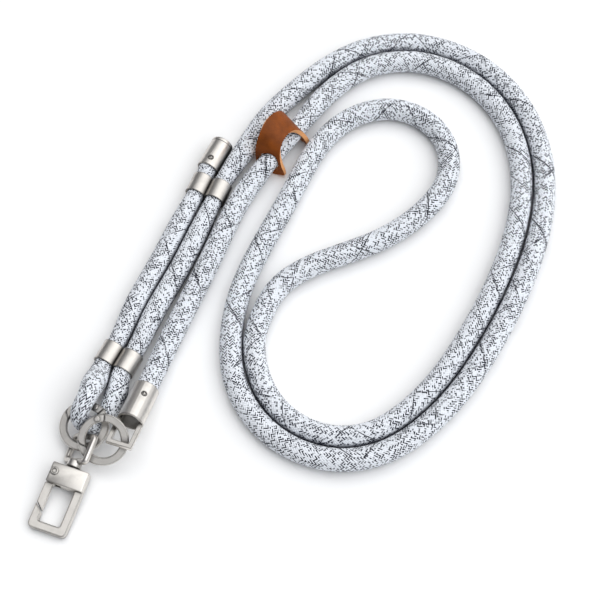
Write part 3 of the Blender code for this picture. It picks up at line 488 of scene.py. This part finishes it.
def leather_material(name, colour, shade, grain_depth, roughness):
    """Vegetable tanned leather with pores, creases and uneven colour, whose dark parts are a shade of it."""
    n = Nodes(name)
    dark = [c * shade for c in colour]
    place = n.add("ShaderNodeTexCoord").outputs["Object"]
    cloud = n.noise(place, CLOUD_SCALE, 5.0)
    crease = n.noise(place, CREASE_SCALE, 4.0)
    tone = n.blend(n.fade(cloud, 0.35, 0.68), (*colour, 1), (*dark, 1))
    pit = n.fade(n.cracks(place, PORE_SCALE), 0.0, 0.12, 1.0, 0.0)
    tone = n.blend(n.math("MULTIPLY", pit, 0.3), tone, (*[c * 0.5 for c in dark], 1))
    n.feed(n.shader, "Base Color", tone)
    n.feed(n.shader, "Roughness", n.fade(crease, 0.0, 1.0, roughness - 0.08, roughness + 0.12))
    relief = n.math("ADD", n.math("MULTIPLY", pit, -0.5), crease)
    n.feed(n.shader, "Normal", n.bump(relief, grain_depth, 0.7))
    n.shader.inputs["Specular IOR Level"].default_value = 0.2
    return n.material


def body_with(node):
    """The name of the body that a node belongs to."""
    bodies = frame["record"]["behaviour"]["bodies"]
    return next(name for name, nodes in bodies.items() if node in nodes)


def dressed_copy(node, look, edge=0.0):
    """A merged, smooth copy of a solid with eased edges, which takes that solid's place."""
    source = frame["nodes"][node]
    build = bmesh.new()
    build.from_mesh(source.data)
    bmesh.ops.remove_doubles(build, verts=build.verts, dist=MERGE_DISTANCE)
    bmesh.ops.dissolve_limit(build, angle_limit=FLAT_ANGLE, verts=build.verts, edges=build.edges)
    mesh = bpy.data.meshes.new(node + "_finish")
    build.to_mesh(mesh)
    build.free()
    piece = new_object(node + "_finish", mesh, look)
    mesh.shade_smooth()
    mesh.set_sharp_from_angle(angle=SHARP_ANGLE)
    if edge:
        ease = piece.modifiers.new("eased edges", "BEVEL")
        ease.width = edge
        ease.segments = 3
        ease.limit_method = "ANGLE"
        ease.angle_limit = SHARP_ANGLE
        ease.harden_normals = True
    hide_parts(node)
    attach(piece, body_with(node))
    return piece


class RopeSettings(bpy.types.PropertyGroup):
    carriers: bpy.props.IntProperty(
        name="Carriers", description="Yarns that run round the rope each way", default=26)
    lay_length: bpy.props.FloatProperty(
        name="Lay length", description="Length of rope in one turn of a yarn", default=0.0360, unit="LENGTH")
    flecks: bpy.props.FloatProperty(
        name="Flecks", description="Share of the yarn crossings that are dark", default=0.41)
    tracer_width: bpy.props.FloatProperty(
        name="Tracer width", description="Width of a tracer, in yarns", default=0.26)
    fleck_width: bpy.props.FloatProperty(
        name="Fleck width", description="Width of a fleck, in yarns", default=0.50)
    yarn_colour: bpy.props.FloatVectorProperty(
        name="Yarn colour", description="Colour of the pale yarns", subtype="COLOR",
        default=(0.91, 0.945, 1.0))
    # Painted shade: the colour that the weave's low hollows are darkened towards.
    gap_shade_colour: bpy.props.FloatVectorProperty(
        name="Gap colour", description="Colour between the yarns", subtype="COLOR",
        default=(0.16, 0.18, 0.27))
    fleck_colour: bpy.props.FloatVectorProperty(
        name="Fleck colour", description="Colour of the dark flecks", subtype="COLOR",
        default=(0.003, 0.004, 0.014))
    # Painted shade: the colour deep between two strands.
    seam_shade_colour: bpy.props.FloatVectorProperty(
        name="Seam colour", description="Colour deep between two strands", subtype="COLOR",
        default=(0.03, 0.034, 0.055))


class MetalSettings(bpy.types.PropertyGroup):
    satin_colour: bpy.props.FloatVectorProperty(
        name="Satin colour", description="Colour of the satin nickel", subtype="COLOR",
        default=(0.76, 0.728, 0.682))
    bright_colour: bpy.props.FloatVectorProperty(
        name="Bright colour", description="Colour of the bright nickel", subtype="COLOR",
        default=(0.72, 0.69, 0.652))
    # Reach of the painted shade in corners and gaps.
    crevice_shade: bpy.props.FloatProperty(
        name="Crevice", description="Reach of the darkening in corners and gaps", default=0.0030,
        unit="LENGTH")
    edge: bpy.props.FloatProperty(
        name="Eased edge", description="Width of the eased edges", default=0.00022, unit="LENGTH")
    round_edge: bpy.props.FloatProperty(
        name="Rounded edge", description="Width of the rounded edges of the rings", default=0.0006,
        unit="LENGTH")


class LeatherSettings(bpy.types.PropertyGroup):
    face_colour: bpy.props.FloatVectorProperty(
        name="Face colour", description="Colour of the smooth outer face", subtype="COLOR",
        default=(0.275, 0.066, 0.006))
    edge_tone_and_painted_light: bpy.props.FloatVectorProperty(
        # The cut edges' own light tone, raised beyond a natural leather colour: partly painted light on edges
        # that turn away from the lights.
        name="Edge colour", description="Colour of the cut edges", subtype="COLOR",
        default=(0.98, 0.47, 0.20))
    back_colour: bpy.props.FloatVectorProperty(
        name="Back colour", description="Colour of the rough inner face", subtype="COLOR",
        default=(0.34, 0.12, 0.045))


class StageSettings(bpy.types.PropertyGroup):
    floor_colour: bpy.props.FloatVectorProperty(
        name="Floor colour", description="Colour of the floor", subtype="COLOR", default=(0.95, 0.95, 0.95))
    bright_side: bpy.props.FloatVectorProperty(
        name="Bright side", description="Direction of the brightest part of the surroundings",
        default=(0.42, 0.30, 0.85))
    sky: bpy.props.FloatProperty(
        name="Surroundings", description="Brightness of the surroundings", default=1.78)
    key: bpy.props.FloatProperty(name="Key light", description="Power of the main light", default=10.0)
    fill: bpy.props.FloatProperty(name="Fill light", description="Power of the second light", default=9.0)


class STRAP_OT_stage(bpy.types.Operator):
    """Sets up the pale floor, the soft lights and the camera"""
    bl_idname = "strap.stage"
    bl_label = "Stage"

    def execute(self, context):
        p = context.scene.strap_stage
        scene = context.scene
        camera = bpy.data.objects.new("camera", bpy.data.cameras.new("camera"))
        scene.collection.objects.link(camera)
        camera.location = CAMERA_AT
        camera.rotation_euler = (Vector(CAMERA_AIM) - Vector(CAMERA_AT)).to_track_quat("-Z", "Y").to_euler()
        camera.data.lens = CAMERA_LENS
        camera.data.sensor_width = CAMERA_SENSOR
        camera.data.clip_start = 0.01
        scene.camera = camera
        build = bmesh.new()
        bmesh.ops.create_grid(build, x_segments=2, y_segments=2, size=FLOOR_HALF_SIZE)
        mesh = bpy.data.meshes.new("floor")
        build.to_mesh(mesh)
        build.free()
        n = Nodes("pale_floor")
        n.shader.inputs["Base Color"].default_value = (*p.floor_colour, 1)
        n.shader.inputs["Roughness"].default_value = 0.9
        n.shader.inputs["Specular IOR Level"].default_value = 0.1
        new_object("floor", mesh, n.material)
        self.light("key", KEY_LIGHT_AT, p.key, (1, 0.99, 0.97))
        self.light("fill", FILL_LIGHT_AT, p.fill, (0.94, 0.97, 1))
        world = bpy.data.worlds.new("studio")
        world.use_nodes = True
        tree = world.node_tree
        way = tree.nodes.new("ShaderNodeTexCoord")
        lean = tree.nodes.new("ShaderNodeVectorMath")
        lean.operation = "DOT_PRODUCT"
        lean.inputs[1].default_value = Vector(p.bright_side).normalized()
        tree.links.new(way.outputs["Generated"], lean.inputs[0])
        ramp = tree.nodes.new("ShaderNodeValToRGB")
        ramp.color_ramp.elements[0].position = 0.0
        ramp.color_ramp.elements[0].color = (0.06, 0.06, 0.07, 1)
        ramp.color_ramp.elements[1].position = 1.0
        ramp.color_ramp.elements[1].color = (1.0, 1.0, 1.0, 1)
        for position, level in SURROUNDINGS_STOPS:
            stop = ramp.color_ramp.elements.new(position)
            stop.color = (level * 0.99, level, level * 1.02, 1)
        tree.links.new(lean.outputs["Value"], ramp.inputs[0])
        tree.links.new(ramp.outputs[0], tree.nodes["Background"].inputs[0])
        tree.nodes["Background"].inputs[1].default_value = p.sky
        scene.world = world
        scene.view_settings.view_transform = "Standard"
        return {"FINISHED"}

    def light(self, name, at, power, colour):
        """A square soft light; of the two, only the fill light shows in the metal."""
        lamp = bpy.data.objects.new(name, bpy.data.lights.new(name, "AREA"))
        bpy.context.scene.collection.objects.link(lamp)
        lamp.data.size = LIGHT_SIZE
        lamp.visible_glossy = name == "fill"
        lamp.data.energy = power
        lamp.data.color = colour
        lamp.location = at
        lamp.rotation_euler = (Vector(LIGHTS_AIM) - Vector(at)).to_track_quat("-Z", "Y").to_euler()


class STRAP_OT_rope(bpy.types.Operator):
    """Lays the braided rope along its route"""
    bl_idname = "strap.rope"
    bl_label = "Rope"

    def execute(self, context):
        route = rope_route()
        knots, at = spline_through(route)
        radii = [row[3] for row in route]
        steps = int(knots[-1] / ROPE_STEP)
        places = np.linspace(0, knots[-1], steps + 1)
        points = np.array([at(w) for w in places])
        thick = np.interp(places, knots, radii) + self.swell(knots, places, radii)
        curve = bpy.data.curves.new("rope_line", "CURVE")
        curve.dimensions = "3D"
        curve.fill_mode = "FULL"
        curve.bevel_depth = ROPE_RADIUS
        curve.bevel_resolution = ROPE_SIDES // 2 - 2
        curve.use_fill_caps = True
        spline = curve.splines.new("POLY")
        spline.points.add(steps)
        for point, place, radius in zip(spline.points, points, thick):
            point.co = (*place, 1)
            point.radius = radius / ROPE_RADIUS
        holder = bpy.data.objects.new("rope_line", curve)
        context.scene.collection.objects.link(holder)
        context.view_layer.update()
        mesh = bpy.data.meshes.new_from_object(holder.evaluated_get(context.evaluated_depsgraph_get()))
        bpy.data.objects.remove(holder, do_unlink=True)
        lengths = np.r_[0, np.cumsum(np.linalg.norm(np.diff(points, axis=0), axis=1))]
        ring = round(len(mesh.vertices) / (steps + 1))
        layer = mesh.uv_layers.new(name="rope_run")
        for face in mesh.polygons:
            index = [mesh.loops[i].vertex_index for i in face.loop_indices]
            # The flat ends have no run of their own
            if max(index) >= ring * (steps + 1) or len(index) > 4:
                continue
            turns = [(v % ring) / ring for v in index]
            # A face across the seam reads on past one whole turn
            if max(turns) - min(turns) > 0.5:
                turns = [t + 1 if t < 0.5 else t for t in turns]
            for loop, v, t in zip(face.loop_indices, index, turns):
                layer.data[loop].uv = (t, lengths[v // ring])
        mesh.shade_smooth()
        rope = new_object("braided_rope", mesh, braid_material(context.scene.strap_rope))
        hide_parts("rope")
        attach(rope, "strap")
        return {"FINISHED"}

    def swell(self, knots, places, radii):
        """How much fuller the soft sleeve is than the solid rope, least where a fitting grips it."""
        free = np.interp(places, knots, [FREE_SLEEVE_SWELL if r >= TIGHT_RADIUS else 0.0 for r in radii])
        first = next(i for i, radius in enumerate(radii) if radius == HANGING_BEND[0][3])
        last = first + len(HANGING_BEND) - 1
        near = np.exp(-((places - knots[first] - BEND_SWELL_AFTER) / BEND_SWELL_REACH) ** 2)
        near += np.exp(-((places - knots[last] + BEND_SWELL_BEFORE) / BEND_SWELL_REACH) ** 2)
        return free + BEND_SLEEVE_SWELL * near


class STRAP_OT_metal(bpy.types.Operator):
    """Finishes the clamps, caps, rings, stirrup and clip in nickel"""
    bl_idname = "strap.metal"
    bl_label = "Metal"

    def execute(self, context):
        p = context.scene.strap_metal
        dull_colour = [c * DULL_SHADE for c in p.satin_colour]
        satin = metal_material("satin_nickel_finish", p.satin_colour, p.crevice_shade, **SATIN)
        bright = metal_material("bright_nickel_finish", p.bright_colour, p.crevice_shade, **BRIGHT)
        caps = metal_material("satin_nickel_caps", p.satin_colour, p.crevice_shade, **SATIN, screws=SCREWS)
        for node in ("stop_cap", "stop_cap_screw", "bail_cap", "bail_cap_screw"):
            dressed_copy(node, caps, edge=p.edge)
        dull = metal_material("satin_nickel_clamps", dull_colour, p.crevice_shade, **DULL)
        for node in ("upper_clamp", "lower_clamp"):
            dressed_copy(node, dull, edge=p.edge)
        for node in ("clip_body", "clip_gate", "clip_rivet"):
            dressed_copy(node, satin, edge=p.edge)
        for ring in ("rope_ring", "cap_ring"):
            dressed_copy(ring + "_body", bright, edge=p.round_edge)
            dressed_copy(ring + "_gate", bright, edge=p.round_edge)
            dressed_copy(ring + "_rivet", bright, edge=p.edge)
        dressed_copy("swivel_stirrup", bright, edge=p.edge)
        return {"FINISHED"}


class STRAP_OT_keeper(bpy.types.Operator):
    """Makes the leather keeper that the rope threads through"""
    bl_idname = "strap.keeper"
    bl_label = "Leather keeper"

    def execute(self, context):
        p = context.scene.strap_leather
        keeper = dressed_copy("leather_keeper", leather_material("leather_face", p.face_colour, **FACE_GRAIN))
        keeper.data.materials.append(leather_material("leather_edge", p.edge_tone_and_painted_light, **EDGE_GRAIN))
        keeper.data.materials.append(leather_material("leather_back", p.back_colour, **BACK_GRAIN))
        inverse = keeper_place().inverted()
        sheet, ways = self.middle_surface()
        for face in keeper.data.polygons:
            middle = inverse @ face.center
            normal = inverse.to_3x3() @ face.normal
            near = min(range(len(sheet)), key=lambda i: (sheet[i] - middle).length_squared)
            facing = normal.dot(ways[near])
            face.material_index = 0 if facing > FACE_SIDE else 2 if facing < -FACE_SIDE else 1
        return {"FINISHED"}

    def middle_surface(self):
        """Points of the leather's middle surface, and the way out of its smooth face at each."""
        sheet, ways = [], []
        nudge = 0.01
        for row in range(KEEPER_ROWS):
            for column in range(KEEPER_COLUMNS):
                share, across = 2 * row / (KEEPER_ROWS - 1) - 1, 2 * column / (KEEPER_COLUMNS - 1) - 1
                here = Vector(keeper_point(share, across))
                ahead = Vector(keeper_point(min(share + nudge, 1), across))
                back = Vector(keeper_point(share - nudge, across))
                along = ahead - here if share + nudge < 1 else here - back
                aside = Vector(keeper_point(share, across + nudge)) - here
                sheet.append(here)
                ways.append(aside.cross(along).normalized())
        return sheet, ways


class STRAP_PT_panel(bpy.types.Panel):
    bl_label = "Crossbody Phone Strap"
    bl_idname = "STRAP_PT_panel"
    bl_space_type = "VIEW_3D"
    bl_region_type = "UI"
    bl_category = "Strap"

    def draw(self, context):
        for operator in OPERATORS:
            self.layout.operator(operator.bl_idname)


SETTINGS = {"strap_rope": RopeSettings, "strap_metal": MetalSettings, "strap_leather": LeatherSettings,
            "strap_stage": StageSettings}
OPERATORS = [STRAP_OT_stage, STRAP_OT_rope, STRAP_OT_metal, STRAP_OT_keeper]


def register():
    for made in (*SETTINGS.values(), *OPERATORS, STRAP_PT_panel):
        bpy.utils.register_class(made)
    for name, kind in SETTINGS.items():
        setattr(bpy.types.Scene, name, bpy.props.PointerProperty(type=kind))


def unregister():
    for name in SETTINGS:
        delattr(bpy.types.Scene, name)
    for made in (STRAP_PT_panel, *OPERATORS[::-1], *SETTINGS.values()):
        bpy.utils.unregister_class(made)


def main():
    register()
    bpy.ops.strap.stage()
    bpy.ops.strap.rope()
    bpy.ops.strap.metal()
    bpy.ops.strap.keeper()
    bpy.context.view_layer.update()


if __name__ == "__main__":
    main()
